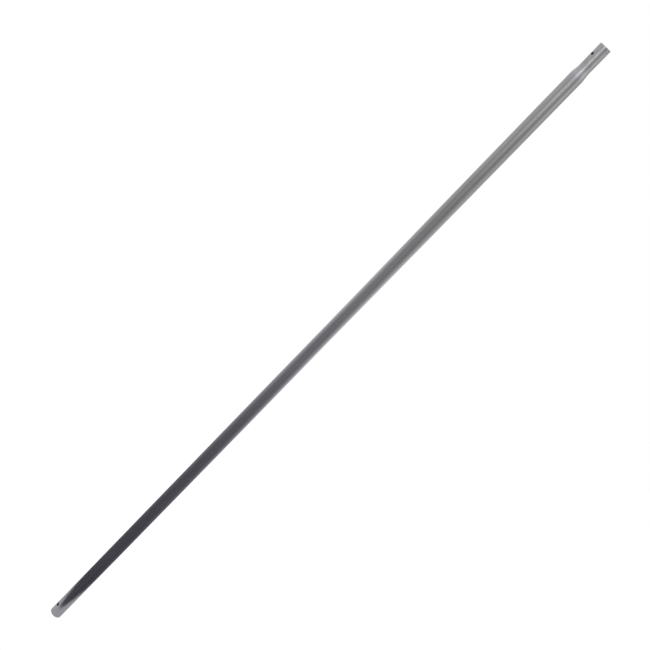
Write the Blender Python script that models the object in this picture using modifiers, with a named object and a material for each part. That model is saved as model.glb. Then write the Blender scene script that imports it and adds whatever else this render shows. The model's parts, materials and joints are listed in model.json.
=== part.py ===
"""One section of a push-button extension pole, in metres, +Z up.

A round aluminium tube stands on its open socket, with its rim centred on the origin. Its upper end is
swaged down to a neck that slides into the socket of the next section. A hairpin clip of spring steel inside
the neck carries two buttons, which stand out through holes in the neck and lock in the next socket's holes.
"""

import math

import bmesh
import bpy
from mathutils import Matrix, Vector

MM = 0.001

# The tube
TUBE_RADIUS = 12.7 * MM
TUBE_WALL = 1.5 * MM
ADDED_REACH = 1524.0 * MM  # from one section's rim to the next one's, pushed home on the shoulder
RIM_CHAMFER = 0.3 * MM

# The swaged neck and the shoulder below it
NECK_RADIUS = 11.0 * MM
NECK_WALL = 1.6 * MM
NECK_LENGTH = 46.5 * MM
SHOULDER_LENGTH = 19.5 * MM
SHOULDER_STEPS = 8

# The button holes, on the X axis
NECK_HOLE_RADIUS = 2.6 * MM
SOCKET_HOLE_RADIUS = 3.8 * MM
HOLE_BELOW_TIP = 21.2 * MM
LOCK_LIFT = 3.4 * MM  # how far the locked buttons hold the next rim off the shoulder
DRILL_LENGTH = 40.0 * MM

# The buttons
BUTTON_RADIUS = 2.2 * MM
BUTTON_PROUD = 1.9 * MM  # above the neck, so it reaches just past the next tube's outside
DOME_HEIGHT = 1.6 * MM
DOME_STEPS = 5
SHANK_RADIUS = 1.3 * MM
RIVET_RADIUS = 2.2 * MM
RIVET_HEIGHT = 0.8 * MM
RIVET_DRILL_LENGTH = 3.2 * MM

# The clip, a bent strip
STRIP_THICKNESS = 0.8 * MM
STRIP_WIDTH = 7.0 * MM
BEND_RADIUS = 6.0 * MM
LEG_REACH = 35.0 * MM  # from the end of the bend up to the buttons
PAD_HALF = 5.0 * MM  # the straight stretch each side of a button
TIP_CURL = 2.0 * MM
CORNER_STEPS = 4
BEND_STEPS = 16

# The finishes
MILL_ALUMINIUM = {"colour": (0.62, 0.63, 0.65), "roughness": 0.32}
SPRING_STEEL = {"colour": (0.33, 0.34, 0.37), "roughness": 0.28}
BLACK_OXIDE = {"colour": (0.05, 0.05, 0.055), "roughness": 0.38, "metallic": 0.6}

GAP = 0.3 * MM
FACET_ALLOWANCE = 0.05 * MM  # how far a round bore's flat facets may stand inside its radius
TUBE_SIDES = 48
BUTTON_SIDES = 24
SHARP_ANGLE = math.radians(30)
MERGE_DISTANCE = 0.01 * MM

# Worked out from the above
SOCKET_RADIUS = TUBE_RADIUS - TUBE_WALL
NECK_BORE_RADIUS = NECK_RADIUS - NECK_WALL
SIDES = {"left": -1, "right": 1}


def shoulder_radius(fraction, low, high):
    """The shoulder's radius at a fraction of its length, on a half cosine wave from low up to high."""
    return high + (low - high) * (1 + math.cos(math.pi * fraction)) / 2


def seat_below_neck():
    """How far below the neck the shoulder is as wide as the socket, which is where the next rim stops."""
    share = (SOCKET_RADIUS - NECK_RADIUS) / (TUBE_RADIUS - NECK_RADIUS)
    return SHOULDER_LENGTH * (1 - math.acos(2 * share - 1) / math.pi)


SEAT_BELOW_NECK = seat_below_neck()
NECK_BOTTOM = ADDED_REACH + SEAT_BELOW_NECK
LENGTH = NECK_BOTTOM + NECK_LENGTH
SHOULDER_BOTTOM = NECK_BOTTOM - SHOULDER_LENGTH
NECK_HOLE_HEIGHT = LENGTH - HOLE_BELOW_TIP
SOCKET_HOLE_HEIGHT = NECK_HOLE_HEIGHT - ADDED_REACH - LOCK_LIFT
PIVOT_HEIGHT = NECK_HOLE_HEIGHT - LEG_REACH

# The strip's corners stay a gap inside the round bore, which places the middle of its thickness
CLEAR_RADIUS = NECK_BORE_RADIUS - GAP
PAD_OUTSIDE = math.sqrt(CLEAR_RADIUS**2 - (STRIP_WIDTH / 2) ** 2) - FACET_ALLOWANCE
PAD_OFFSET = PAD_OUTSIDE - STRIP_THICKNESS / 2


def clear_scene():
    for old in list(bpy.data.objects):
        bpy.data.objects.remove(old, do_unlink=True)


def new_collection(name):
    collection = bpy.data.collections.new(name)
    bpy.context.scene.collection.children.link(collection)
    return collection


def metal(name, colour, roughness, metallic=1.0):
    material = bpy.data.materials.new(name)
    material.use_nodes = True
    shader = material.node_tree.nodes["Principled BSDF"]
    shader.inputs["Base Color"].default_value = (*colour, 1.0)
    shader.inputs["Roughness"].default_value = roughness
    shader.inputs["Metallic"].default_value = metallic
    return material


def add_object(name, mesh, collection, material=None):
    thing = bpy.data.objects.new(name, mesh)
    collection.objects.link(thing)
    if material:
        mesh.materials.append(material)
    return thing


def apply_modifiers(thing):
    """Swap the object's mesh for the one its modifiers make, shaded smooth between sharp edges."""
    graph = bpy.context.evaluated_depsgraph_get()
    made = bpy.data.meshes.new_from_object(thing.evaluated_get(graph))
    thing.modifiers.clear()
    thing.data = made
    made.shade_smooth()
    made.set_sharp_from_angle(angle=SHARP_ANGLE)


def turned(name, profile, sides, collection, material, closed=False):
    """Turn a profile of (radius, height) points round Z; it runs down the outer side, top to bottom."""
    mesh = bpy.data.meshes.new(name)
    edges = [(i, i + 1) for i in range(len(profile) - 1)]
    if closed:
        edges.append((len(profile) - 1, 0))
    mesh.from_pydata([(radius, 0, height) for radius, height in profile], edges, [])
    thing = add_object(name, mesh, collection, material)
    screw = thing.modifiers.new("Turn", "SCREW")
    screw.steps = sides
    screw.render_steps = sides
    screw.use_merge_vertices = True
    screw.merge_threshold = MERGE_DISTANCE
    apply_modifiers(thing)
    return thing


def drill(name, radius, centre, length, collection):
    """A round cutter through centre, along X."""
    mesh = bpy.data.meshes.new(name)
    shape = bmesh.new()
    bmesh.ops.create_cone(
        shape,
        cap_ends=True,
        segments=BUTTON_SIDES,
        radius1=radius,
        radius2=radius,
        depth=length,
    )
    shape.to_mesh(mesh)
    shape.free()
    cutter = add_object(name, mesh, collection)
    cutter.rotation_euler = (0, math.pi / 2, 0)
    cutter.location = centre
    cutter.display_type = "WIRE"
    cutter.hide_render = True
    return cutter


def cut(thing, cutter):
    boolean = thing.modifiers.new(cutter.name, "BOOLEAN")
    boolean.operation = "DIFFERENCE"
    boolean.solver = "EXACT"
    boolean.object = cutter


def shoulder(low, high):
    """Points up the shoulder, from radius low at its foot to radius high at the neck."""
    points = []
    for step in range(SHOULDER_STEPS + 1):
        fraction = step / SHOULDER_STEPS
        height = SHOULDER_BOTTOM + SHOULDER_LENGTH * fraction
        points.append((shoulder_radius(fraction, low, high), height))
    return points


def pole_tube(parts, cutters):
    """The drawn tube, its wall kept nearly even through the shoulder, with chamfered ends."""
    outside = [
        (NECK_RADIUS - RIM_CHAMFER, LENGTH),
        (NECK_RADIUS, LENGTH - RIM_CHAMFER),
        *reversed(shoulder(TUBE_RADIUS, NECK_RADIUS)),
        (TUBE_RADIUS, RIM_CHAMFER),
        (TUBE_RADIUS - RIM_CHAMFER, 0),
    ]
    inside = [
        (SOCKET_RADIUS + RIM_CHAMFER, 0),
        (SOCKET_RADIUS, RIM_CHAMFER),
        *shoulder(SOCKET_RADIUS, NECK_BORE_RADIUS),
        (NECK_BORE_RADIUS, LENGTH - RIM_CHAMFER),
        (NECK_BORE_RADIUS + RIM_CHAMFER, LENGTH),
    ]
    aluminium = metal("Mill aluminium", **MILL_ALUMINIUM)
    tube = turned("pole_tube", outside + inside, TUBE_SIDES, parts, aluminium, closed=True)
    neck_middle = (0, 0, NECK_HOLE_HEIGHT)
    socket_middle = (0, 0, SOCKET_HOLE_HEIGHT)
    cut(tube, drill("neck_drill", NECK_HOLE_RADIUS, neck_middle, DRILL_LENGTH, cutters))
    cut(tube, drill("socket_drill", SOCKET_HOLE_RADIUS, socket_middle, DRILL_LENGTH, cutters))
    return tube


def rounded_path(corners, radius):
    """Replace each inner corner of a path with an arc of the given radius."""
    points = [corners[0]]
    for before, corner, after in zip(corners, corners[1:], corners[2:]):
        back = (before - corner).normalized()
        ahead = (after - corner).normalized()
        half_angle = back.angle(ahead) / 2
        middle = corner + (back + ahead).normalized() * radius / math.sin(half_angle)
        start = corner + back * radius / math.tan(half_angle) - middle
        end = corner + ahead * radius / math.tan(half_angle) - middle
        for step in range(CORNER_STEPS + 1):
            points.append(middle + start.lerp(end, step / CORNER_STEPS).normalized() * radius)
    points.append(corners[-1])
    return points


def strip(name, path, origin, parts, material):
    """Steel strip along a path in the XZ plane, with its object origin at the given point."""
    shape = bmesh.new()
    edge_y = -STRIP_WIDTH / 2
    rail = [shape.verts.new(point + Vector((0, edge_y, 0)) - origin) for point in path]
    edges = [shape.edges.new(pair) for pair in zip(rail, rail[1:])]
    swept = bmesh.ops.extrude_edge_only(shape, edges=edges)["geom"]
    far_side = [item for item in swept if isinstance(item, bmesh.types.BMVert)]
    bmesh.ops.translate(shape, verts=far_side, vec=(0, STRIP_WIDTH, 0))
    bmesh.ops.recalc_face_normals(shape, faces=shape.faces)
    mesh = bpy.data.meshes.new(name)
    shape.to_mesh(mesh)
    shape.free()
    thing = add_object(name, mesh, parts, material)
    thing.location = origin
    solid = thing.modifiers.new("Thickness", "SOLIDIFY")
    solid.thickness = STRIP_THICKNESS
    solid.offset = 0
    solid.use_even_offset = True
    apply_modifiers(thing)
    return thing


def clip_bend(parts, spring_steel):
    """The closed end of the hairpin, a half circle below the legs."""
    path = []
    for step in range(BEND_STEPS + 1):
        turn = math.pi * step / BEND_STEPS
        height = PIVOT_HEIGHT - GAP / 2 - BEND_RADIUS * math.sin(turn)
        path.append(Vector((BEND_RADIUS * math.cos(turn), 0, height)))
    return strip("clip_bend", path, Vector((0, 0, PIVOT_HEIGHT)), parts, spring_steel)


def clip_leg(side, parts, cutters, spring_steel):
    """One leg: it leans out from the bend, lies along the wall behind its button and curls in at its tip."""
    out = SIDES[side]
    pad_top = NECK_HOLE_HEIGHT + PAD_HALF
    corners = [
        Vector((out * BEND_RADIUS, 0, PIVOT_HEIGHT + GAP / 2)),
        Vector((out * PAD_OFFSET, 0, NECK_HOLE_HEIGHT - PAD_HALF)),
        Vector((out * PAD_OFFSET, 0, pad_top)),
        Vector((out * (PAD_OFFSET - TIP_CURL), 0, pad_top + TIP_CURL)),
    ]
    pivot = Vector((out * BEND_RADIUS, 0, PIVOT_HEIGHT))
    leg = strip(f"clip_leg_{side}", rounded_path(corners, TIP_CURL), pivot, parts, spring_steel)
    place = (out * PAD_OFFSET, 0, NECK_HOLE_HEIGHT)
    cut(leg, drill(f"rivet_drill_{side}", SHANK_RADIUS + GAP, place, RIVET_DRILL_LENGTH, cutters))
    return leg


def dome(radius, top):
    """Points down a spherical cap, from its crown to its edge."""
    sphere = (radius**2 + DOME_HEIGHT**2) / (2 * DOME_HEIGHT)
    spread = math.asin(radius / sphere)
    points = []
    for step in range(DOME_STEPS + 1):
        turn = spread * step / DOME_STEPS
        points.append((sphere * math.sin(turn), top - sphere * (1 - math.cos(turn))))
    return points


def snap_button(side, parts, black_steel):
    """A domed button with a shank through its leg, riveted over behind it."""
    rivet_top = PAD_OFFSET - STRIP_THICKNESS / 2 - GAP
    profile = [
        *dome(BUTTON_RADIUS, NECK_RADIUS + BUTTON_PROUD),
        (BUTTON_RADIUS, PAD_OUTSIDE + GAP),
        (SHANK_RADIUS, PAD_OUTSIDE + GAP),
        (SHANK_RADIUS, rivet_top),
        (RIVET_RADIUS, rivet_top),
        (RIVET_RADIUS, rivet_top - RIVET_HEIGHT),
        (0, rivet_top - RIVET_HEIGHT),
    ]
    button = turned(f"snap_button_{side}", profile, BUTTON_SIDES, parts, black_steel)
    lean = Matrix.Rotation(SIDES[side] * math.pi / 2, 4, "Y")
    button.data.transform(lean)
    pivot = Vector((SIDES[side] * BEND_RADIUS, 0, PIVOT_HEIGHT))
    button.data.transform(Matrix.Translation(Vector((0, 0, NECK_HOLE_HEIGHT)) - pivot))
    button.location = pivot
    return button


def pivot_empty(side, parts):
    """The point that a leg flexes about, on the joint's axis."""
    empty = bpy.data.objects.new(f"pivot_{side}", None)
    empty.empty_display_size = BEND_RADIUS
    empty.location = (SIDES[side] * BEND_RADIUS, 0, PIVOT_HEIGHT)
    parts.objects.link(empty)
    return empty


def hang_on(parent, children):
    for child in children:
        child.location = (0, 0, 0)
        child.parent = parent


def build():
    clear_scene()
    parts = new_collection("roller_extension_pole")
    cutters = new_collection("cutters")
    spring_steel = metal("Spring steel", **SPRING_STEEL)
    black_steel = metal("Black oxide steel", **BLACK_OXIDE)
    pole_tube(parts, cutters)
    clip_bend(parts, spring_steel)
    for side in SIDES:
        leg = clip_leg(side, parts, cutters, spring_steel)
        button = snap_button(side, parts, black_steel)
        hang_on(pivot_empty(side, parts), (leg, button))


build()
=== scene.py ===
"""Looks of one section of a push-button extension pole, in metres, in the CAD frame.

The pole stands on its open socket at the origin, with its swaged neck at the top. The drawn tube, the
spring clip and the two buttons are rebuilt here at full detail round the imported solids, and each has its
own procedural material. The pole stands in a plain pale cove with soft studio light.
"""

import json
import math

import bmesh
import bpy
from mathutils import Matrix, Vector


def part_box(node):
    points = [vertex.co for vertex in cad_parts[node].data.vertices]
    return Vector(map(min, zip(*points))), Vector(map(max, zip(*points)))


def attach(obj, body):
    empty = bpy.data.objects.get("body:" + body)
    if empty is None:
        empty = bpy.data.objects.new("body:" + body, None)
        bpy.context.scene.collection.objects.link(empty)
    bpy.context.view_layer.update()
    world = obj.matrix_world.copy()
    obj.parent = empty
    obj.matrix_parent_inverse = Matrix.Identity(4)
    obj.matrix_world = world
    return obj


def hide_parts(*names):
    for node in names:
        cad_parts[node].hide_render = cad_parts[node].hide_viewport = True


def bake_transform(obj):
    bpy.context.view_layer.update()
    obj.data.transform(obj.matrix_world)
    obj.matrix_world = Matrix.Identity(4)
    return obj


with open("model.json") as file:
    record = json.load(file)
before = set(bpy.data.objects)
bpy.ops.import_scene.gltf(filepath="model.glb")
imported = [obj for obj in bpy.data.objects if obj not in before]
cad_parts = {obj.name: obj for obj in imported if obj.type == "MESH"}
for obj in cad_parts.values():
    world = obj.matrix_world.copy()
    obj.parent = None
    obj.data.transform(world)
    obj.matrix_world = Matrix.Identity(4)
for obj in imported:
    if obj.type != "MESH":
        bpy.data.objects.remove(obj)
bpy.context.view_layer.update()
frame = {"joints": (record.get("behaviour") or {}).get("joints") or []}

MM = 0.001

# ---------------------------------------------------------------- sizes, from the frame where it has them
tube_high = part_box("pole_tube")[1]
button_low, button_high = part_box("snap_button_right")
leg_low, leg_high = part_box("clip_leg_right")
pivot = Vector(next(j["pos_m"] for j in frame["joints"] if j["name"] == "button_press_right"))

LENGTH = tube_high.z
TUBE_RADIUS = tube_high.y
TUBE_WALL = 1.5 * MM
NECK_RADIUS = 11.0 * MM
NECK_WALL = 1.6 * MM
NECK_LENGTH = 46.5 * MM
SHOULDER_LENGTH = 19.5 * MM
NECK_BOTTOM = LENGTH - NECK_LENGTH
SHOULDER_BOTTOM = NECK_BOTTOM - SHOULDER_LENGTH
NECK_HOLE_RADIUS = 2.6 * MM
NECK_HOLE_HEIGHT = (button_low.z + button_high.z) / 2
SOCKET_HOLE_RADIUS = 3.8 * MM
HOLE_SPACING = 1527.4 * MM
SOCKET_HOLE_HEIGHT = NECK_HOLE_HEIGHT - HOLE_SPACING

SHARP_ANGLE = math.radians(50)
ON_AXIS = 0.001 * MM  # a profile point closer to the axis than this is one vertex


def smooth(value):
    """The value held between 0 and 1, with a gentle start and end."""
    value = min(max(value, 0.0), 1.0)
    return value * value * (3 - 2 * value)


def closed_mesh(name, vertices, faces):
    """A smooth-shaded mesh with sharp corners, and with its faces pointing outwards."""
    mesh = bpy.data.meshes.new(name)
    mesh.from_pydata([tuple(v) for v in vertices], [], faces)
    shape = bmesh.new()
    shape.from_mesh(mesh)
    bmesh.ops.recalc_face_normals(shape, faces=shape.faces)
    shape.to_mesh(mesh)
    shape.free()
    mesh.shade_smooth()
    mesh.set_sharp_from_angle(angle=SHARP_ANGLE)
    return mesh


def joined(loops, sides):
    """Faces between each loop of vertices and the next one, all the way round; a loop may be one point."""
    faces = []
    for near, far in zip(loops, loops[1:]):
        for k in range(sides):
            after = (k + 1) % sides
            corners = (near[k], near[after], far[after], far[k])
            faces.append(tuple(dict.fromkeys(corners)))
    return faces


def turned(profile, sides, place):
    """Vertices and faces of a profile of (radius, along) points; place says where a point is at a turn."""
    vertices, loops = [], []
    for radius, along in profile:
        start = len(vertices)
        if radius < ON_AXIS:
            vertices.append(place(0.0, along, 0.0))
            loops.append([start] * sides)
            continue
        vertices.extend(place(radius, along, 2 * math.pi * k / sides) for k in range(sides))
        loops.append(list(range(start, len(vertices))))
    return vertices, joined(loops, sides)


def add_object(name, data):
    """A new object with this data, linked to the scene."""
    thing = bpy.data.objects.new(name, data)
    bpy.context.scene.collection.objects.link(thing)
    return thing


def add_piece(name, mesh, material, body, slot, *nodes):
    """A visible piece that stands for CAD nodes and rides on a body, or on none when no body is given."""
    mesh.materials.append(material)
    piece = add_object(name, mesh)
    if body:
        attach(piece, body)
    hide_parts(*nodes)
    return piece


# ---------------------------------------------------------------- the tube's mesh
SIDES = 128
RIM_ROUND = 0.35 * MM
RIM_STEPS = 4
HOLE_ROUND = 0.25 * MM
HOLE_ROUND_STEPS = 5
HOLE_INNER_ROUND = 0.12 * MM
HOLE_INNER_STEPS = 3
WINDOW_SIDES = 9  # half the window round a hole, in sides
WINDOW_ROWS = 16
WINDOW_HALF_HEIGHT = 5.0 * MM
FAN_SHARES = (0.66, 0.33, 0.1)  # the rings of a window, as shares of the way out from the hole's edge

DIE_MARKS = 6
DIE_MARK_DEPTH = 0.12 * MM
DIE_MARK_TURN = 0.6
DIE_MARK_RISE = 14 * MM
DIE_MARK_FALL = 30 * MM

# Where the spacing of the mesh rings changes, and the spacings
FOOT_TOP = 60 * MM
BELOW_SHOULDER = 10 * MM
ABOVE_SHOULDER = 4 * MM
SOCKET_STEP = 2.5 * MM
FOOT_STEP = 4 * MM
PLAIN_STEP = 18 * MM
SHOULDER_STEP = 0.9 * MM
NECK_STEP = 2 * MM


def wall_radius(z, low, high):
    """Radius of a wall at height z, from low on the tube to high on the neck, by a half cosine wave."""
    share = min(max((z - SHOULDER_BOTTOM) / SHOULDER_LENGTH, 0.0), 1.0)
    return high + (low - high) * (1 + math.cos(math.pi * share)) / 2


def rim_round(z):
    """How far the rounded rim falls back from the wall at height z."""
    into = min(z, LENGTH - z)
    if into >= RIM_ROUND:
        return 0.0
    return RIM_ROUND - math.sqrt(max(RIM_ROUND**2 - (RIM_ROUND - into) ** 2, 0.0))


def die_marks(z, angle):
    """The faint long flats that the swaging dies leave on the neck and shoulder."""
    rise = smooth((z - SHOULDER_BOTTOM) / DIE_MARK_RISE)
    fall = 1 - 0.5 * smooth((z - NECK_BOTTOM) / DIE_MARK_FALL)
    wave = 0.5 - 0.5 * math.cos(DIE_MARKS * angle + DIE_MARK_TURN)
    return DIE_MARK_DEPTH * rise * fall * wave**2


def outer_point(z, angle):
    radius = wall_radius(z, TUBE_RADIUS, NECK_RADIUS) - rim_round(z) - die_marks(z, angle)
    return Vector((radius * math.cos(angle), radius * math.sin(angle), z))


def inner_point(z, angle):
    radius = wall_radius(z, TUBE_RADIUS - TUBE_WALL, NECK_RADIUS - NECK_WALL) + rim_round(z)
    return Vector((radius * math.cos(angle), radius * math.sin(angle), z))


def tube_levels():
    """Heights of the mesh rings: close at the rims, holes and shoulder, and wide apart between."""
    rim = [RIM_ROUND * (1 - math.cos(math.pi / 2 * k / RIM_STEPS)) for k in range(RIM_STEPS + 1)]
    levels = list(rim)

    def run(end, step):
        start = levels[-1]
        count = max(1, round((end - start) / step))
        levels.extend(start + (end - start) * k / count for k in range(1, count + 1))

    def window(centre):
        bottom, height = centre - WINDOW_HALF_HEIGHT, 2 * WINDOW_HALF_HEIGHT
        levels.extend(bottom + height * k / WINDOW_ROWS for k in range(1, WINDOW_ROWS + 1))

    run(SOCKET_HOLE_HEIGHT - WINDOW_HALF_HEIGHT, SOCKET_STEP)
    window(SOCKET_HOLE_HEIGHT)
    run(FOOT_TOP, FOOT_STEP)
    run(SHOULDER_BOTTOM - BELOW_SHOULDER, PLAIN_STEP)
    run(NECK_BOTTOM + ABOVE_SHOULDER, SHOULDER_STEP)
    run(NECK_HOLE_HEIGHT - WINDOW_HALF_HEIGHT, NECK_STEP)
    window(NECK_HOLE_HEIGHT)
    run(LENGTH - RIM_ROUND, NECK_STEP)
    levels.extend(LENGTH - z for z in reversed(rim[:-1]))
    return levels


def window_boundary(first_row, centre_side):
    """(ring, side) of each vertex round a window, in order."""
    last_row = first_row + WINDOW_ROWS
    left, right = centre_side - WINDOW_SIDES, centre_side + WINDOW_SIDES
    steps = [(first_row, s) for s in range(left, right)]
    steps += [(r, right) for r in range(first_row, last_row)]
    steps += [(last_row, s) for s in range(right, left, -1)]
    steps += [(r, left) for r in range(last_row, first_row, -1)]
    return steps


def hole_patch(vertices, faces, hole, side_sign, bases, boundary):
    """Join the window round a hole of (height, radius), outside and in, through its edges and its wall."""
    height, hole_radius = hole

    def surface(point, y, z, inset):
        """The point of a wall over (y, z), moved inset along the drill's axis towards the tube's middle."""
        radius = abs(point(z, 0.0).x)
        lean = math.asin(y / radius)
        angle = lean if side_sign > 0 else math.pi - lean
        found = point(z, angle)
        return Vector((found.x - side_sign * inset, found.y, found.z))

    def spokes(base):
        """(turn, reach) from the hole's middle to each vertex of the window's boundary on one wall."""
        found = []
        for ring, side in boundary:
            place = vertices[base + ring * SIDES + side % SIDES]
            y, z = place.y, place.z - height
            found.append((math.atan2(z, y), math.hypot(y, z)))
        return found

    def ring_at(point, fan, radius, inset=0.0, share=0.0):
        """A ring of points: share of the way from radius out to the window's boundary."""
        ring = []
        for turn, reach in fan:
            out = radius + (reach - radius) * share
            ring.append(surface(point, out * math.cos(turn), height + out * math.sin(turn), inset))
        return ring

    outer_base, inner_base = bases
    outer_fan, inner_fan = spokes(outer_base), spokes(inner_base)
    outer_edge, inner_edge = hole_radius + HOLE_ROUND, hole_radius + HOLE_INNER_ROUND
    rings = [ring_at(outer_point, outer_fan, outer_edge, share=share) for share in FAN_SHARES]
    for k in range(HOLE_ROUND_STEPS + 1):
        turn = math.pi / 2 * k / HOLE_ROUND_STEPS
        inset = HOLE_ROUND * (1 - math.cos(turn))
        rings.append(ring_at(outer_point, outer_fan, outer_edge - HOLE_ROUND * math.sin(turn), inset))
    for k in range(HOLE_INNER_STEPS + 1):
        turn = math.pi / 2 * (1 - k / HOLE_INNER_STEPS)
        inset = -HOLE_INNER_ROUND * (1 - math.cos(turn))
        radius = inner_edge - HOLE_INNER_ROUND * math.sin(turn)
        rings.append(ring_at(inner_point, inner_fan, radius, inset))
    rings += [ring_at(inner_point, inner_fan, inner_edge, share=share) for share in reversed(FAN_SHARES)]

    loops = [[outer_base + r * SIDES + s % SIDES for r, s in boundary]]
    for ring in rings:
        start = len(vertices)
        vertices.extend(ring)
        loops.append(list(range(start, len(vertices))))
    loops.append([inner_base + r * SIDES + s % SIDES for r, s in boundary])
    faces.extend(joined(loops, len(boundary)))


def tube_mesh():
    """The whole tube as one closed surface: outer wall, inner wall, two rims and four drilled holes."""
    levels = tube_levels()
    count = len(levels)
    vertices = []
    for point in (outer_point, inner_point):
        for z in levels:
            vertices.extend(point(z, 2 * math.pi * side / SIDES) for side in range(SIDES))
    outer_base, inner_base = 0, count * SIDES

    windows = []
    for hole in ((SOCKET_HOLE_HEIGHT, SOCKET_HOLE_RADIUS), (NECK_HOLE_HEIGHT, NECK_HOLE_RADIUS)):
        bottom = hole[0] - WINDOW_HALF_HEIGHT
        first = min(range(count), key=lambda k: abs(levels[k] - bottom))
        windows += [(first, 0, hole, 1), (first, SIDES // 2, hole, -1)]
    skipped = set()
    for first, centre, _, _ in windows:
        for ring in range(first, first + WINDOW_ROWS):
            skipped |= {(ring, (centre + s) % SIDES) for s in range(-WINDOW_SIDES, WINDOW_SIDES)}

    faces = []
    for ring in range(count - 1):
        for side in range(SIDES):
            if (ring, side) in skipped:
                continue
            after = (side + 1) % SIDES
            a, b = ring * SIDES + side, ring * SIDES + after
            c, d = b + SIDES, a + SIDES
            faces.append((a, b, c, d))
            faces.append((inner_base + d, inner_base + c, inner_base + b, inner_base + a))
    top = (count - 1) * SIDES
    for side in range(SIDES):
        after = (side + 1) % SIDES
        faces.append((side, inner_base + side, inner_base + after, after))
        faces.append((top + after, inner_base + top + after, inner_base + top + side, top + side))
    for first, centre, hole, sign in windows:
        boundary = window_boundary(first, centre)
        hole_patch(vertices, faces, hole, sign, (outer_base, inner_base), boundary)

    return closed_mesh("tube", vertices, faces)


# ---------------------------------------------------------------- the clip's meshes
STRIP_WIDTH = leg_high.y - leg_low.y
STRIP_THICKNESS = 0.8 * MM
STRIP_EDGE = 0.22 * MM
EDGE_STEPS = 3
STRIP_CORNER = 1.8 * MM
BEND_RADIUS = pivot.x
BEND_STEPS = 40
LEAN_STEPS = 30
PAD_OFFSET = leg_high.x - STRIP_THICKNESS / 2
PAD_HALF = 5.0 * MM
PAD_STEPS = 10
CURL_RADIUS = 3.0 * MM
CURL_TURN = math.radians(48)
CURL_STEPS = 12


def strip_section(width):
    """Points round the strip's section, as (across the thickness, along Y), with rounded edges."""
    flat_thick, flat_wide = STRIP_THICKNESS / 2 - STRIP_EDGE, width / 2 - STRIP_EDGE
    corners = ((1, 1, 0.0), (-1, 1, 0.5), (-1, -1, 1.0), (1, -1, 1.5))
    points = []
    for across, along, quarter in corners:
        for k in range(EDGE_STEPS + 1):
            turn = math.pi * (quarter + 0.5 * k / EDGE_STEPS)
            thick = across * flat_thick + STRIP_EDGE * math.cos(turn)
            wide = along * flat_wide + STRIP_EDGE * math.sin(turn)
            points.append((thick, wide))
    return points


def strip_mesh(name, path, widths):
    """Sweep the strip's section along a path of (x, z) points, closed at both ends."""
    vertices, loops = [], []
    for k, (x, z) in enumerate(path):
        before, after = path[max(k - 1, 0)], path[min(k + 1, len(path) - 1)]
        along = Vector((after[0] - before[0], after[1] - before[1])).normalized()
        normal = Vector((along.y, -along.x))
        start = len(vertices)
        for out, side in strip_section(widths[k]):
            vertices.append(Vector((x + normal.x * out, side, z + normal.y * out)))
        loops.append(list(range(start, len(vertices))))
    faces = [tuple(loops[0]), tuple(reversed(loops[-1]))]
    faces += joined(loops, len(loops[0]))
    return closed_mesh(name, vertices, faces)


def bend_path():
    points = []
    for k in range(BEND_STEPS + 1):
        turn = math.pi * k / BEND_STEPS
        points.append((BEND_RADIUS * math.cos(turn), pivot.z - BEND_RADIUS * math.sin(turn)))
    return points


def leg_path(sign):
    """From the end of the bend: a slow S out to the wall, the straight pad, then the tip curled in."""
    pad_start, pad_end = NECK_HOLE_HEIGHT - PAD_HALF, NECK_HOLE_HEIGHT + PAD_HALF
    points = []
    for k in range(LEAN_STEPS + 1):
        share = k / LEAN_STEPS
        x = BEND_RADIUS + (PAD_OFFSET - BEND_RADIUS) * smooth(share)
        points.append((sign * x, pivot.z + (pad_start - pivot.z) * share))
    for k in range(1, PAD_STEPS + 1):
        points.append((sign * PAD_OFFSET, pad_start + (pad_end - pad_start) * k / PAD_STEPS))
    for k in range(1, CURL_STEPS + 1):
        turn = CURL_TURN * k / CURL_STEPS
        x = PAD_OFFSET - CURL_RADIUS * (1 - math.cos(turn))
        points.append((sign * x, pad_end + CURL_RADIUS * math.sin(turn)))
    return points


def leg_widths(path):
    """Full width, drawn in round the two corners of the tip."""
    to_tip = [0.0]
    backwards = list(reversed(path))
    for near, far in zip(backwards, backwards[1:]):
        to_tip.append(to_tip[-1] + math.hypot(far[0] - near[0], far[1] - near[1]))
    widths = []
    for distance in reversed(to_tip):
        short = max(STRIP_CORNER - distance, 0.0)
        drawn = STRIP_CORNER - math.sqrt(STRIP_CORNER**2 - short**2)
        widths.append(STRIP_WIDTH - 2 * drawn)
    return widths


# ---------------------------------------------------------------- the buttons' meshes
BUTTON_RADIUS = button_high.y
BUTTON_TOP = button_high.x
BUTTON_SIDES = 64
DOME_HEIGHT = 1.6 * MM
DOME_STEPS = 12
SHOULDER_DROP = 0.25 * MM
COLLAR_BOTTOM = PAD_OFFSET + STRIP_THICKNESS / 2
COLLAR_BEVEL = (0.15 * MM, 0.2 * MM)  # inwards and upwards
SHANK_RADIUS = 1.3 * MM
RIVET_RADIUS = 2.2 * MM
RIVET_TOP = PAD_OFFSET - STRIP_THICKNESS / 2
RIVET_HEIGHT = 0.9 * MM
RIVET_STEPS = 8
CLEARANCE = 0.02 * MM


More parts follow.
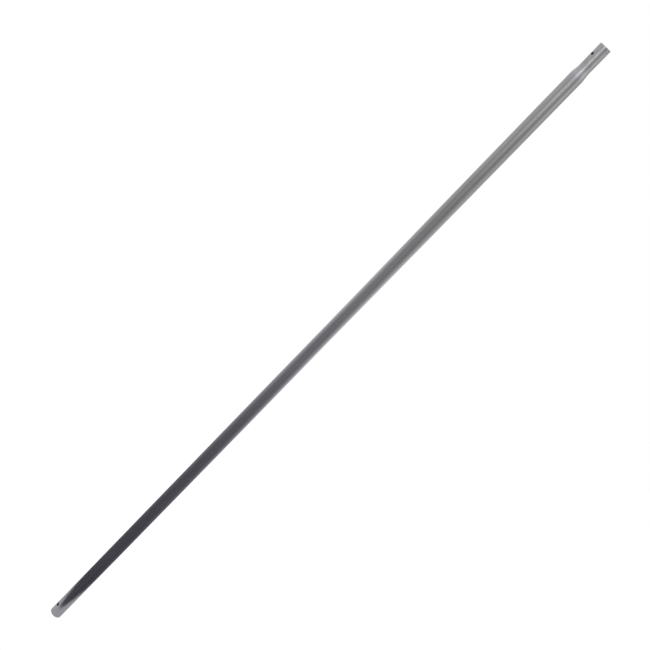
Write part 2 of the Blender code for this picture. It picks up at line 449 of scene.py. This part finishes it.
def button_profile():
    """(radius, distance from the tube's axis) down the button: dome, shoulder, skirt, shank, rivet."""
    sphere = (BUTTON_RADIUS**2 + DOME_HEIGHT**2) / (2 * DOME_HEIGHT)
    spread = math.asin(BUTTON_RADIUS / sphere)
    profile = []
    for k in range(DOME_STEPS + 1):
        turn = spread * k / DOME_STEPS
        profile.append((sphere * math.sin(turn), BUTTON_TOP - sphere * (1 - math.cos(turn))))
    edge = profile[-1][1]
    bevel_in, bevel_up = COLLAR_BEVEL
    profile += [
        (BUTTON_RADIUS, edge - SHOULDER_DROP),
        (BUTTON_RADIUS, COLLAR_BOTTOM + bevel_up),
        (BUTTON_RADIUS - bevel_in, COLLAR_BOTTOM + CLEARANCE),
        (SHANK_RADIUS, COLLAR_BOTTOM + CLEARANCE),
        (SHANK_RADIUS, RIVET_TOP - CLEARANCE),
        (RIVET_RADIUS, RIVET_TOP - CLEARANCE),
    ]
    for k in range(1, RIVET_STEPS + 1):
        turn = math.pi / 2 * k / RIVET_STEPS
        height = RIVET_TOP - CLEARANCE - RIVET_HEIGHT * math.sin(turn)
        profile.append((RIVET_RADIUS * math.cos(turn), height))
    return profile


def button_mesh(name, sign):
    def place(radius, out, turn):
        return Vector((sign * out, radius * math.cos(turn), NECK_HOLE_HEIGHT + radius * math.sin(turn)))

    return closed_mesh(name, *turned(button_profile(), BUTTON_SIDES, place))


# ---------------------------------------------------------------- materials
class Nodes:
    """A node tree under construction: each call adds nodes and gives back a socket for the next one."""

    def __init__(self, tree):
        self.tree = tree

    def node(self, kind, **settings):
        made = self.tree.nodes.new(kind)
        for name, value in settings.items():
            setattr(made, name, value)
        return made

    def link(self, value, socket):
        """Link a socket, or set a plain value."""
        if hasattr(value, "links"):
            self.tree.links.new(value, socket)
        else:
            socket.default_value = value

    def coordinates(self, kind="Object"):
        return self.node("ShaderNodeTexCoord").outputs[kind]

    def scaled(self, vector, scale, turn=(0, 0, 0)):
        mapping = self.node("ShaderNodeMapping")
        self.link(vector, mapping.inputs["Vector"])
        mapping.inputs["Scale"].default_value = scale
        mapping.inputs["Rotation"].default_value = turn
        return mapping.outputs["Vector"]

    def noise(self, vector, scale=1.0, detail=2.0, rough=0.5):
        made = self.node("ShaderNodeTexNoise")
        self.link(vector, made.inputs["Vector"])
        made.inputs["Scale"].default_value = scale
        made.inputs["Detail"].default_value = detail
        made.inputs["Roughness"].default_value = rough
        return made.outputs["Fac"]

    def drawn_noise(self, vector, scale, detail=2.0, rough=0.5):
        """Noise with its own scale along each axis, drawn out where the scale is small."""
        return self.noise(self.scaled(vector, scale), detail=detail, rough=rough)

    def math(self, operation, first, second=0.0, third=0.0):
        made = self.node("ShaderNodeMath", operation=operation)
        for value, socket in zip((first, second, third), made.inputs):
            self.link(value, socket)
        return made.outputs[0]

    def vector_math(self, operation, first, second=(0, 0, 0), third=(0, 0, 0), output="Vector"):
        made = self.node("ShaderNodeVectorMath", operation=operation)
        for value, socket in zip((first, second, third), made.inputs):
            self.link(value, socket)
        return made.outputs[output]

    def split(self, vector):
        made = self.node("ShaderNodeSeparateXYZ")
        self.link(vector, made.inputs[0])
        return made.outputs

    def times(self, first, second):
        return self.math("MULTIPLY", first, second)

    def plus(self, value, mask, amount):
        """The value, with the mask times the amount added."""
        return self.math("MULTIPLY_ADD", mask, amount, value)

    def remap(self, value, low, high, to_low=0.0, to_high=1.0, smooth_step=False):
        made = self.node("ShaderNodeMapRange")
        made.interpolation_type = "SMOOTHSTEP" if smooth_step else "LINEAR"
        self.link(value, made.inputs["Value"])
        made.inputs["From Min"].default_value = low
        made.inputs["From Max"].default_value = high
        made.inputs["To Min"].default_value = to_low
        made.inputs["To Max"].default_value = to_high
        return made.outputs["Result"]

    def band(self, value, low, high, soft):
        """1 between low and high, falling to 0 over soft on each side."""
        up = self.remap(value, low - soft, low, smooth_step=True)
        down = self.remap(value, high, high + soft, 1.0, 0.0, smooth_step=True)
        return self.times(up, down)

    def blend(self, share, first, second):
        """Colour from first to second."""
        made = self.node("ShaderNodeMix", data_type="RGBA")
        self.link(share, made.inputs["Factor"])
        self.link(first, made.inputs["A"])
        self.link(second, made.inputs["B"])
        return made.outputs["Result"]

    def paint(self, under, mask, amount, over):
        """Lay a colour over another, as strongly as the mask times the amount."""
        return self.blend(self.times(mask, amount), under, over)

    def ramp(self, value, stops):
        """A colour ramp through stops of (place, colour)."""
        made = self.node("ShaderNodeValToRGB")
        self.link(value, made.inputs["Fac"])
        elements = made.color_ramp.elements
        while len(elements) < len(stops):
            elements.new(0.5)
        for element, (place, shade) in zip(elements, stops):
            element.position = place
            element.color = shade
        return made.outputs["Color"]

    def streaks(self, place, scale, low, high):
        """Sparse thin lines: the crests of a noise that is drawn out along the small numbers of scale."""
        return self.remap(self.drawn_noise(place, scale, detail=1.0), low, high)

    def off_axis(self, place, height):
        """Distance from the line along X at a height, which is the axis of a pair of holes."""
        flat = self.vector_math("MULTIPLY_ADD", place, (0, 1, 1), (0, 0, -height))
        return self.vector_math("LENGTH", flat, output="Value")

    def bump(self, height, distance, strength, normal=None):
        made = self.node("ShaderNodeBump")
        self.link(height, made.inputs["Height"])
        made.inputs["Distance"].default_value = distance
        made.inputs["Strength"].default_value = strength
        if normal:
            self.link(normal, made.inputs["Normal"])
        return made.outputs["Normal"]


class Shader(Nodes):
    """A material under construction, round its Principled shader."""

    def __init__(self, name):
        self.material = bpy.data.materials.new(name)
        self.material.use_nodes = True
        super().__init__(self.material.node_tree)
        self.output = self.tree.nodes["Principled BSDF"]

    def finish(self, **sockets):
        """Set or link the Principled shader's sockets, which are named with _ for a space."""
        for name, value in sockets.items():
            self.link(value, self.output.inputs[name.replace("_", " ")])
        return self.material


def colour(red, green, blue):
    return (red, green, blue, 1.0)


def grey(level):
    return colour(level, level, level)


END_FADE = (1.4 * MM, 0.8 * MM)  # how far from an end its raw metal starts, and is all there
SWAGED_FADE = 9 * MM

MILL_DARK = colour(0.53, 0.533, 0.54)
MILL_LIGHT = colour(0.725, 0.725, 0.73)
THIN_OXIDE = colour(0.50, 0.505, 0.52)
# a lilac tint laid over the shoulder
SHOULDER_LILAC = colour(0.66, 0.64, 0.72)
SMUDGED = colour(0.42, 0.42, 0.47)
RUBBED = grey(0.80)
SCRATCHED = colour(0.86, 0.86, 0.87)
LIP_PAINTED_HIGHLIGHT = grey(0.86)
# a painted highlight for the edges of the drilled holes
SAWN_DARK = colour(0.62, 0.62, 0.63)
SAWN_LIGHT = colour(0.86, 0.86, 0.87)
# painted shade for the walls of the drilled holes, in place of bright bare metal
HOLE_SHADE_DARK = colour(0.08, 0.08, 0.09)
HOLE_SHADE_LIGHT = colour(0.16, 0.16, 0.17)
BORE_DARK = colour(0.40, 0.405, 0.415)
BORE_LIGHT = colour(0.58, 0.585, 0.60)


def tube_regions(s, place, height):
    """Masks of the tube's bore, of its cut faces (rims and holes), of its two ends, and of its neck."""
    outward = s.vector_math("NORMALIZE", s.vector_math("MULTIPLY", place, (1, 1, 0)))
    # 1 on the outside, 0 on a cut face and -1 in the bore
    facing = s.vector_math("DOT_PRODUCT", outward, s.coordinates("Normal"), output="Value")
    bore = s.remap(facing, -0.9, -0.5, 1.0, 0.0)
    cut_face = s.band(facing, -0.35, 0.6, 0.12)
    far, near = END_FADE
    end = s.math("MAXIMUM", s.remap(height, far, near), s.remap(height, LENGTH - far, LENGTH - near))
    neck = s.remap(height, SHOULDER_BOTTOM, NECK_BOTTOM, smooth_step=True)
    return bore, cut_face, end, neck


def tube_scuffs(s, place):
    """Fine scratches: along the tube, round it in patches, and short ones across it."""
    along = s.streaks(place, (1900, 1900, 22), 0.66, 0.74)
    patches = s.remap(s.drawn_noise(place, (120, 120, 60)), 0.50, 0.62)
    around = s.times(s.streaks(place, (110, 110, 3400), 0.66, 0.76), patches)
    elsewhere = s.vector_math("ADD", place, (0.3, 0.1, 0.2))
    across = s.streaks(elsewhere, (260, 900, 900), 0.74, 0.80)
    return s.plus(s.times(s.math("MAXIMUM", along, across), 0.8), around, 0.45)


def hole_lip_highlights(s, place):
    """Painted highlights round the edges of the drilled holes."""
    neck_lip_highlight = s.band(s.off_axis(place, NECK_HOLE_HEIGHT), 0.0, NECK_HOLE_RADIUS + 0.3 * MM, 0.25 * MM)
    socket_lip_highlight = s.band(s.off_axis(place, SOCKET_HOLE_HEIGHT), 0.0, SOCKET_HOLE_RADIUS + 0.1 * MM, 0.2 * MM)
    return s.math("MAXIMUM", neck_lip_highlight, socket_lip_highlight)


def outside_colour(s, place, height, neck, draw, cloud, scuffs):
    """The drawn outside: mill finish under thin oxide, smudged and rubbed on the neck, then scratched, with
    a painted highlight round the holes' edges.
    """
    swaged = s.band(height, SHOULDER_BOTTOM, NECK_BOTTOM, SWAGED_FADE)
    smudges = s.times(neck, s.remap(s.drawn_noise(place, (130, 130, 75)), 0.42, 0.62))
    rubs = s.times(neck, s.remap(s.drawn_noise(place, (900, 900, 22), detail=3.0), 0.46, 0.66))
    metal = s.blend(s.remap(draw, 0.32, 0.68), MILL_DARK, MILL_LIGHT)
    metal = s.blend(s.remap(cloud, 0.35, 0.75, 0.0, 0.5), metal, THIN_OXIDE)
    # a lilac tint over the shoulder
    metal = s.paint(metal, swaged, 0.55, SHOULDER_LILAC)
    metal = s.paint(metal, smudges, 0.45, SMUDGED)
    metal = s.paint(metal, rubs, 0.6, RUBBED)
    metal = s.paint(metal, scuffs, 0.5, SCRATCHED)
    # a painted highlight laid round the edges of the holes
    return s.paint(metal, hole_lip_highlights(s, place), 0.6, LIP_PAINTED_HIGHLIGHT)


def cut_colour(s, place, end, grain):
    """The cut faces: bright saw marks on the rims, and painted shade on the walls of the drilled holes."""
    saw = s.noise(s.scaled(place, (350, 5200, 350), (0, 0, 0.7)))
    sawn = s.blend(saw, SAWN_DARK, SAWN_LIGHT)
    # painted shade: the walls of the drilled holes are coloured near-black
    drilled = s.blend(grain, HOLE_SHADE_DARK, HOLE_SHADE_LIGHT)
    return s.blend(end, drilled, sawn)


def tube_relief(s, place, neck, draw, scuffs, grain):
    """Long waves from the drawing, dents on the neck, draw lines, scratches and grain."""
    waves = s.drawn_noise(place, (260, 260, 0.9))
    dents = s.drawn_noise(place, (170, 170, 70), detail=1.0)
    relief = s.bump(waves, 0.05 * MM, 0.55)
    relief = s.bump(s.times(dents, neck), 0.50 * MM, 0.9, relief)
    relief = s.bump(draw, 0.012 * MM, 0.9, relief)
    relief = s.bump(s.times(scuffs, -1.0), 0.012 * MM, 0.6, relief)
    return s.bump(grain, 0.002 * MM, 0.5, relief)


def drawn_aluminium():
    """Mill-finish drawn tube: draw lines, thin oxide, a rubbed neck, raw ends, a dull bore, and painted
    shade in the drilled holes with a painted highlight round their edges.
    """
    s = Shader("Drawn aluminium")
    place = s.coordinates()
    height = s.split(place)["Z"]
    bore, cut_face, end, neck = tube_regions(s, place, height)
    scuffs = tube_scuffs(s, place)
    lines = s.drawn_noise(place, (1100, 1100, 3), detail=3.0, rough=0.6)
    fine = s.drawn_noise(place, (4200, 4200, 14), rough=0.65)
    draw = s.plus(s.times(fine, 0.45), lines, 0.55)
    cloud = s.drawn_noise(place, (45, 45, 9), detail=4.0, rough=0.6)
    grain = s.noise(place, 2600.0)

    metal = outside_colour(s, place, height, neck, draw, cloud, scuffs)
    # the cut faces: sawn rims, and painted shade on the walls of the drilled holes
    metal = s.blend(cut_face, metal, cut_colour(s, place, end, grain))
    metal = s.blend(bore, metal, s.blend(cloud, BORE_DARK, BORE_LIGHT))

    rough = s.remap(draw, 0.3, 0.75, 0.20, 0.30)
    rough = s.math("ADD", rough, s.remap(cloud, 0.35, 0.8, 0.0, 0.08))
    for mask, change in ((scuffs, 0.12), (neck, -0.08), (bore, 0.22), (cut_face, 0.10)):
        rough = s.plus(rough, mask, change)

    relief = tube_relief(s, place, neck, draw, scuffs, grain)
    bare = s.plus(1.0, s.times(bore, neck), -0.6)  # the bore is chalky near its mouth in the neck
    return s.finish(Base_Color=metal, Roughness=rough, Normal=relief, Metallic=bare)


STEEL_BLUE = colour(0.30, 0.32, 0.37)
STEEL_STRAW = colour(0.40, 0.37, 0.35)
STEEL_ROLLED = colour(0.50, 0.50, 0.51)
STEEL_EDGE = colour(0.66, 0.66, 0.67)


def spring_steel():
    """Rolled and tempered strip: fine rolling lines, blue-grey temper colour, bright worn edges."""
    s = Shader("Tempered spring steel")
    place = s.coordinates()
    side = s.math("ABSOLUTE", s.split(place)["Y"])
    rolled = s.drawn_noise(place, (60, 3200, 60), detail=3.0, rough=0.6)
    temper = s.noise(place, 170.0, detail=3.0)
    pits = s.noise(place, 1500.0)
    half_wide = STRIP_WIDTH / 2
    edge = s.remap(side, half_wide - 0.5 * MM, half_wide - 0.1 * MM, smooth_step=True)

    steel = s.blend(s.remap(temper, 0.35, 0.7), STEEL_BLUE, STEEL_STRAW)
    steel = s.blend(s.remap(rolled, 0.35, 0.7, 0.0, 0.5), steel, STEEL_ROLLED)
    steel = s.paint(steel, edge, 0.6, STEEL_EDGE)
    rough = s.remap(rolled, 0.3, 0.7, 0.22, 0.36)
    rough = s.plus(rough, s.remap(pits, 0.6, 0.75), 0.15)
    relief = s.bump(rolled, 0.01 * MM, 0.7)
    relief = s.bump(pits, 0.006 * MM, 0.5, relief)
    return s.finish(Base_Color=steel, Roughness=rough, Normal=relief, Metallic=1.0)


OXIDE_DARK = colour(0.030, 0.031, 0.035)
OXIDE_LIGHT = colour(0.070, 0.068, 0.066)
OXIDE_WORN = colour(0.34, 0.33, 0.32)


def black_oxide():
    """Turned steel button: near-black oxide with fine turning rings, worn on the crown and shoulder."""
    s = Shader("Black oxide steel")
    place = s.coordinates()
    out = s.math("ABSOLUTE", s.split(place)["X"])
    radius = s.off_axis(place, NECK_HOLE_HEIGHT)
    rings = s.node("ShaderNodeTexWave", wave_type="RINGS", rings_direction="X")
    from_axis = s.scaled(s.vector_math("SUBTRACT", place, (0, 0, NECK_HOLE_HEIGHT)), (0, 1, 1))
    s.link(from_axis, rings.inputs["Vector"])
    rings.inputs["Scale"].default_value = 900.0
    rings.inputs["Distortion"].default_value = 0.4
    patchy = s.noise(place, 900.0, detail=3.0, rough=0.6)
    scuffs = s.drawn_noise(place, (900, 900, 2600))

    crown = s.remap(out, BUTTON_TOP - 0.35 * MM, BUTTON_TOP, smooth_step=True)
    shoulder = s.band(radius, BUTTON_RADIUS - 0.22 * MM, BUTTON_RADIUS - 0.02 * MM, 0.12 * MM)
    worn = s.math("MAXIMUM", s.times(crown, 0.9), s.times(shoulder, 0.5))
    worn = s.times(worn, s.remap(scuffs, 0.42, 0.62))
    oxide = s.blend(s.remap(patchy, 0.3, 0.7), OXIDE_DARK, OXIDE_LIGHT)
    steel = s.blend(worn, oxide, OXIDE_WORN)
    rough = s.remap(patchy, 0.3, 0.7, 0.30, 0.44)
    relief = s.bump(rings.outputs["Fac"], 0.004 * MM, 0.6)
    relief = s.bump(patchy, 0.008 * MM, 0.5, relief)
    return s.finish(Base_Color=steel, Roughness=rough, Normal=relief, Metallic=1.0)


# ---------------------------------------------------------------- the object
aluminium = drawn_aluminium()
steel_strip = spring_steel()
oxide_steel = black_oxide()

add_piece("tube", tube_mesh(), aluminium, "pole", "mill_aluminium", "pole_tube")

path = bend_path()
bend = strip_mesh("spring_bend", path, [STRIP_WIDTH] * len(path))
add_piece("spring_bend", bend, steel_strip, "pole", "spring_steel", "clip_bend")

for side, sign in (("left", -1), ("right", 1)):
    path = leg_path(sign)
    leg = strip_mesh(f"spring_leg_{side}", path, leg_widths(path))
    piece = add_piece(f"spring_leg_{side}", leg, steel_strip, None, "spring_steel", f"clip_leg_{side}")
    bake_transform(piece)
    knob = button_mesh(f"button_{side}", sign)
    add_piece(f"button_{side}", knob, oxide_steel, f"leg_{side}", "black_steel", f"snap_button_{side}")

# ---------------------------------------------------------------- the studio
CAMERA_TURN = math.radians(-129.5)  # where the camera stands round the pole, from +X
CAMERA_DISTANCE = 1.7175
CAMERA_HEIGHT = 1.5116
CAMERA_TILT = math.radians(19.66)
CAMERA_YAW = math.radians(-0.44)
CAMERA_ROLL = math.radians(44.19)
CAMERA_LENS = 54.8
CAMERA_SENSOR = 36.0

COVE_RADIUS = 7.0
COVE_CORNER = 2.5
COVE_TOP = 9.0
COVE_SIDES = 96
CORNER_STEPS = 16
INNER_RINGS = (0.0, 1.0, 3.0)
COVE_GLOW = 0.88  # the cove is lit through from behind, as a light table is

LIGHT_SIZE = 9.0
LIGHT_POWER = 400.0
LIGHT_HEIGHT = 6.5

CARD_WIDTH = 0.205
CARD_DEPTH = 0.30
CARD_FRONT = 0.047
CARD_CORNER = 0.03
CARD_CORNER_STEPS = 8
CARD_TURN = math.radians(-9)
CARD_DROP = 0.5 * MM
CARD_GLOW = 0.49
CARD_FADE = (1.4 * MM, 0.7 * MM)  # how far inside the tube's surface its glow starts, and is all there

towards_camera = Vector((math.cos(CAMERA_TURN), math.sin(CAMERA_TURN), 0))
camera_side = Vector((-math.sin(CAMERA_TURN), math.cos(CAMERA_TURN), 0))


def make_camera():
    forward = -towards_camera * math.cos(CAMERA_TILT) - Vector((0, 0, math.sin(CAMERA_TILT)))
    up = camera_side.cross(forward)
    ahead = forward * math.cos(CAMERA_YAW) + camera_side * math.sin(CAMERA_YAW)
    right = camera_side * math.cos(CAMERA_YAW) - forward * math.sin(CAMERA_YAW)
    across = right * math.cos(CAMERA_ROLL) + up * math.sin(CAMERA_ROLL)
    upright = up * math.cos(CAMERA_ROLL) - right * math.sin(CAMERA_ROLL)
    data = bpy.data.cameras.new("camera")
    data.lens = CAMERA_LENS
    data.sensor_width = CAMERA_SENSOR
    camera = add_object("camera", data)
    turn = Matrix((across, upright, -ahead)).transposed().to_4x4()
    place = towards_camera * CAMERA_DISTANCE + Vector((0, 0, CAMERA_HEIGHT))
    camera.matrix_world = Matrix.Translation(place) @ turn
    bpy.context.scene.camera = camera


def glowing(name, glow_colour):
    """A shader for a studio surface that gives light and has no shine."""
    s = Shader(name)
    s.finish(Specular_IOR_Level=0.0, Emission_Color=glow_colour)
    return s


def make_cove():
    """A round white cove: floor, curved corner and wall in one, kept out of the metal's reflections."""
    profile = [(radius, 0.0) for radius in INNER_RINGS]
    for k in range(CORNER_STEPS + 1):
        turn = math.pi / 2 * k / CORNER_STEPS
        profile.append((COVE_RADIUS + COVE_CORNER * math.sin(turn), COVE_CORNER * (1 - math.cos(turn))))
    profile.append((COVE_RADIUS + COVE_CORNER, COVE_TOP))

    def place(radius, z, turn):
        return (radius * math.cos(turn), radius * math.sin(turn), z)

    vertices, faces = turned(profile, COVE_SIDES, place)
    mesh = bpy.data.meshes.new("cove")
    mesh.from_pydata(vertices, [], faces)
    mesh.shade_smooth()
    s = glowing("Pale floor", grey(1.0))
    tint = s.blend(s.noise(s.coordinates(), 3.0), grey(0.10), grey(0.13))
    mesh.materials.append(s.finish(Base_Color=tint, Roughness=0.9, Emission_Strength=COVE_GLOW))
    cove = add_object("cove", mesh)
    cove.visible_glossy = False


def foot_card():
    """A pale card under and behind the foot of the pole, seen only in the metal and dark inside the bore."""
    mesh = bpy.data.meshes.new("foot_card")
    shape = bmesh.new()
    bmesh.ops.create_grid(shape, x_segments=1, y_segments=1, size=0.5)  # 1 m on each side
    bmesh.ops.scale(shape, verts=shape.verts, vec=(CARD_DEPTH, CARD_WIDTH, 1))
    bmesh.ops.translate(shape, verts=shape.verts, vec=(CARD_FRONT - CARD_DEPTH / 2, 0, -CARD_DROP))
    corners = shape.verts[:]
    bmesh.ops.bevel(shape, geom=corners, offset=CARD_CORNER, segments=CARD_CORNER_STEPS, affect="VERTICES")
    shape.to_mesh(mesh)
    shape.free()
    s = glowing("Foot card", colour(1.0, 0.99, 1.06))
    flat = s.vector_math("MULTIPLY", s.coordinates(), (1, 1, 0))
    from_pole = s.vector_math("LENGTH", flat, output="Value")
    far, near = CARD_FADE
    lit = s.remap(from_pole, TUBE_RADIUS - far, TUBE_RADIUS - near, 0.0, CARD_GLOW)
    mesh.materials.append(s.finish(Base_Color=grey(0.0), Emission_Strength=lit))
    card = add_object("foot_card", mesh)
    card.rotation_euler = (0, 0, CAMERA_TURN + CARD_TURN)
    card.visible_camera = False
    card.visible_diffuse = False
    card.visible_shadow = False


def overhead_light():
    """A wide soft light that shines straight down and isn't seen in the metal."""
    data = bpy.data.lights.new("overhead", "AREA")
    data.shape = "RECTANGLE"
    data.size = LIGHT_SIZE
    data.size_y = LIGHT_SIZE
    data.energy = LIGHT_POWER
    light = add_object("overhead", data)
    light.location = (0, 0, LIGHT_HEIGHT)
    light.visible_camera = False
    light.visible_glossy = False


# The room that the metal reflects. Its levels are heights of the view direction: straight down is -1 and
# the horizon is 0. Each stop is (level, grey, blue), where blue is how many times the grey its blue is.
LOWEST, HIGHEST = -1.0, 0.35
VIOLET = 0.12  # how far green falls as blue rises
FLOOR_BELOW = [(-1.0, 0.46, 1.0), (-0.86, 0.36, 1.0), (-0.76, 0.080, 1.20)]
ROOM_IN_FRONT = [
    *FLOOR_BELOW,
    (-0.70, 0.046, 1.32),
    (-0.60, 0.048, 1.32),
    (-0.50, 0.061, 1.27),
    (-0.45, 0.072, 1.24),
    (-0.40, 0.176, 1.18),
    (-0.345, 0.330, 1.05),
    (-0.27, 0.250, 1.0),
    (-0.17, 0.195, 1.0),
    (-0.11, 0.258, 1.0),
    (-0.055, 0.43, 1.0),
    (0.0, 0.56, 1.0),
    (0.35, 0.66, 1.0),
]
ROOM_AT_SIDES = [
    *FLOOR_BELOW,
    (-0.70, 0.046, 1.30),
    (-0.60, 0.052, 1.30),
    (-0.50, 0.112, 1.26),
    (-0.42, 0.24, 1.15),
    (-0.34, 0.50, 1.03),
    (-0.18, 0.44, 1.0),
    (-0.05, 0.54, 1.0),
    (0.35, 0.75, 1.0),
]


def room_stops(levels):
    stops = []
    for level, shade, blue in levels:
        green = 1 + VIOLET * (1 - blue)
        place = (level - LOWEST) / (HIGHEST - LOWEST)
        stops.append((place, colour(shade, shade * green, shade * blue)))
    return stops


def room_lift(s, turn, away, height):
    """How much brighter or darker than its ramp the room is, at a turn from the camera and a height."""

    def across(value, low, high, soft):
        return s.band(value, math.radians(low), math.radians(high), math.radians(soft))

    def from_to(value, low, high):
        return s.remap(value, math.radians(low), math.radians(high), smooth_step=True)

    slanted = s.math("ADD", turn, s.remap(height, -0.10, -0.035, math.radians(20), 0.0))
    window = across(turn, -22, -5, 7)
    gap = across(slanted, 25, 45, 10)
    behind = across(turn, 104, 130, 9)
    beside = across(turn, -100, -40, 16)
    lift = 1.0
    for band, change in ((window, 0.68), (gap, -0.40), (behind, -0.32), (beside, -0.12)):
        lift = s.plus(lift, band, change)
    near_horizon = s.remap(height, -0.125, -0.015, smooth_step=True)
    lift = s.plus(1.0, s.math("SUBTRACT", lift, 1.0), near_horizon)

    floor_behind = s.times(from_to(away, 85, 135), s.remap(height, -0.15, -0.26))
    one_side = s.times(from_to(turn, 85, 125), s.band(height, -0.48, -0.36, 0.10))
    return s.plus(s.plus(lift, floor_behind, 0.8), one_side, 0.5)


def make_world():
    """The room: light at the horizon, dark lower down, light straight below, and lighter to the sides."""
    world = bpy.data.worlds.new("studio")
    bpy.context.scene.world = world
    world.use_nodes = True
    s = Nodes(world.node_tree)
    direction = s.coordinates("Generated")
    height = s.split(direction)["Z"]
    ahead = s.vector_math("DOT_PRODUCT", direction, tuple(towards_camera), output="Value")
    aside = s.vector_math("DOT_PRODUCT", direction, tuple(camera_side), output="Value")
    turn = s.math("ARCTAN2", aside, ahead)
    away = s.math("ABSOLUTE", turn)
    level = s.remap(height, LOWEST, HIGHEST)
    front = s.ramp(level, room_stops(ROOM_IN_FRONT))
    sides = s.ramp(level, room_stops(ROOM_AT_SIDES))
    share = s.remap(away, math.radians(35), math.radians(85), smooth_step=True)
    background = s.tree.nodes["Background"]
    s.link(s.blend(share, front, sides), background.inputs["Color"])
    s.link(room_lift(s, turn, away, height), background.inputs["Strength"])


make_camera()
make_cove()
foot_card()
make_world()
overhead_light()
bpy.context.scene.view_settings.view_transform = "Standard"
